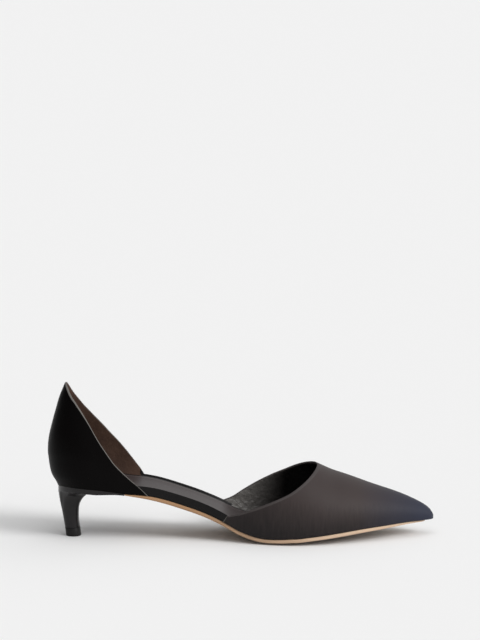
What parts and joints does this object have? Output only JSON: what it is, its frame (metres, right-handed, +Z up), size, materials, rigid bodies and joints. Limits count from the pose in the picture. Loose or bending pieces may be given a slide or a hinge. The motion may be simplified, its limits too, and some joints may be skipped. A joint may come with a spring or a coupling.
{
  "type": "kitten heel",
  "caption": "Pointed court shoe with a low kitten heel, closed pointed vamp, open cut-away sides and a counter that rises to a point at the back.",
  "frame": {"origin": "middle of the bounding box's footprint, on the floor under the heel and the ball", "axes": "+X towards the toe, +Y towards the inner side of the foot, +Z up"},
  "size_m": [0.2604, 0.0744, 0.1041],
  "materials": {
    "upper": "ribbed satin vamp with smooth leather counter",
    "outsole": "natural leather, trimmed edge",
    "insole": "wrapped board",
    "sock_lining": "satin lining leather",
    "heel": "leather covered, semi-gloss",
    "top_piece": "hard wearing rubber"
  },
  "bodies": {
    "root": {"upper": "upper", "outsole": "outsole", "insole": "insole", "sock_lining": "sock_lining", "heel": "heel", "top_piece": "top_piece"}
  },
  "joints": []
}
